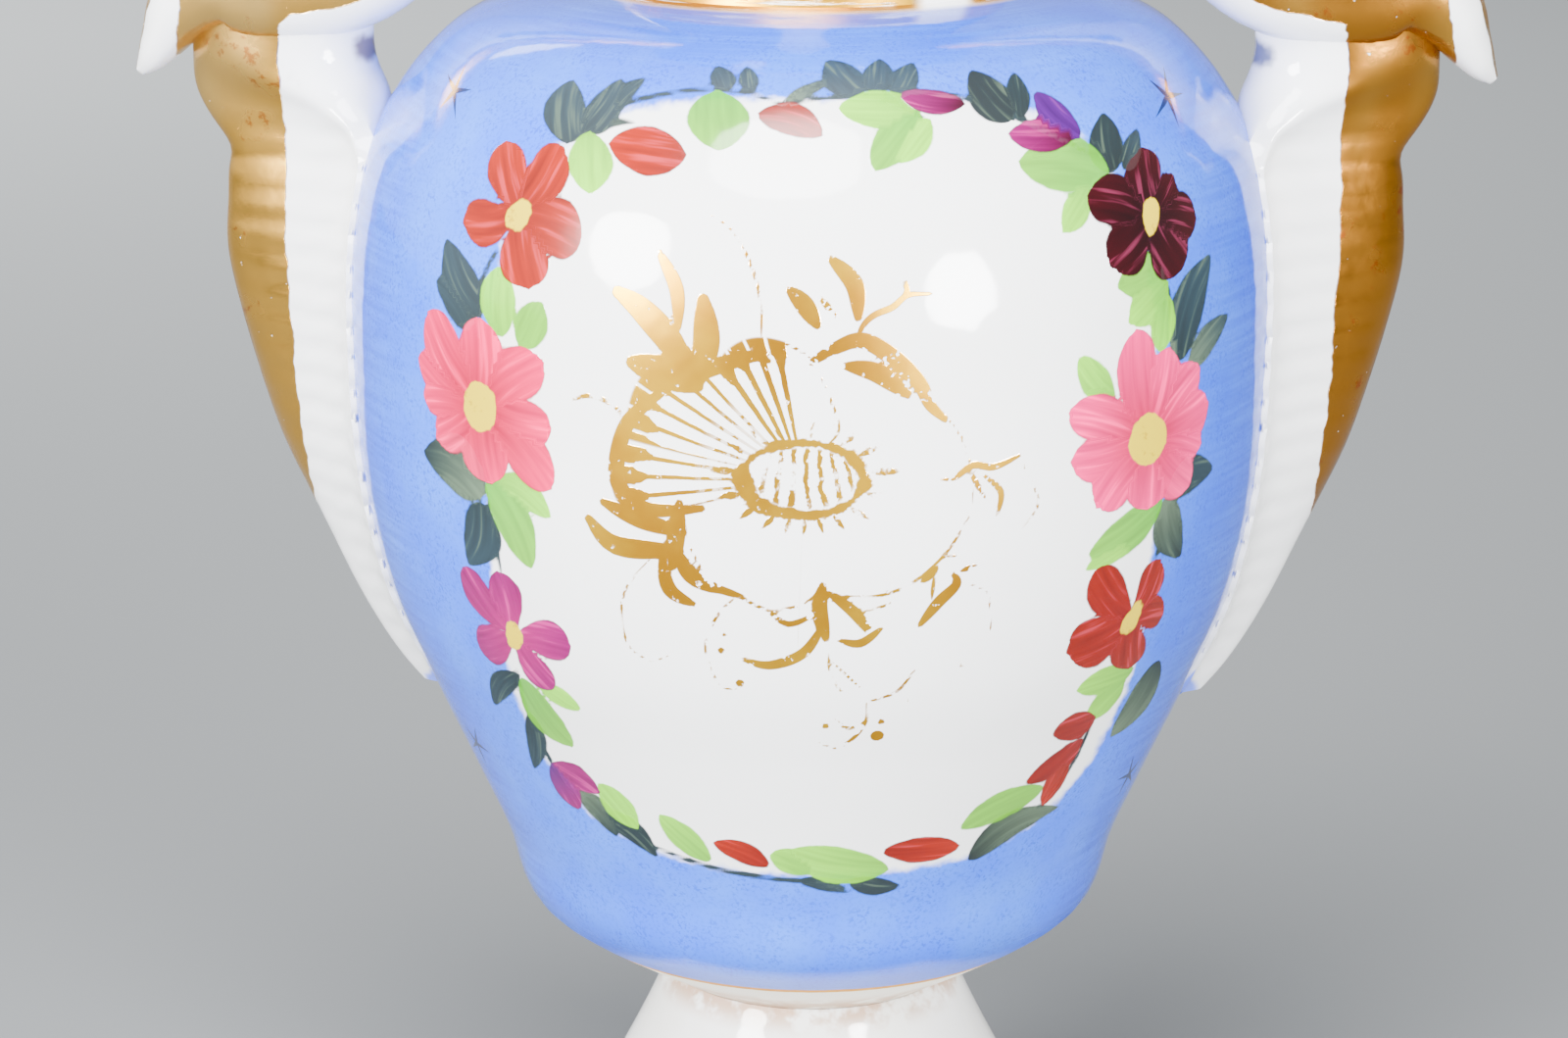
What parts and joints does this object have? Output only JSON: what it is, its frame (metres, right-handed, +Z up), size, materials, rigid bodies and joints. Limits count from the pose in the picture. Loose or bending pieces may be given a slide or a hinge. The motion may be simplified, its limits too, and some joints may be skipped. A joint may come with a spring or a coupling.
{
  "type": "porcelain amphora",
  "caption": "Porcelain amphora with leaf handles, a blue ground, a painted flower wreath and worn gilding, on a trumpet foot with a square plinth.",
  "frame": {"origin": "middle of the plinth's underside", "axes": "+Z up along the vessel's axis, -Y is the painted front, the handles stand along +X and -X"},
  "size_m": [0.1958, 0.1348, 0.2617],
  "materials": {
    "painted_porcelain": "glossy glaze over a sponged blue ground, painted flowers and worn gilding",
    "white_porcelain": "glossy white glaze with brown stains at the joint"
  },
  "bodies": {
    "root": {"amphora": "painted_porcelain", "foot": "white_porcelain"}
  },
  "joints": []
}
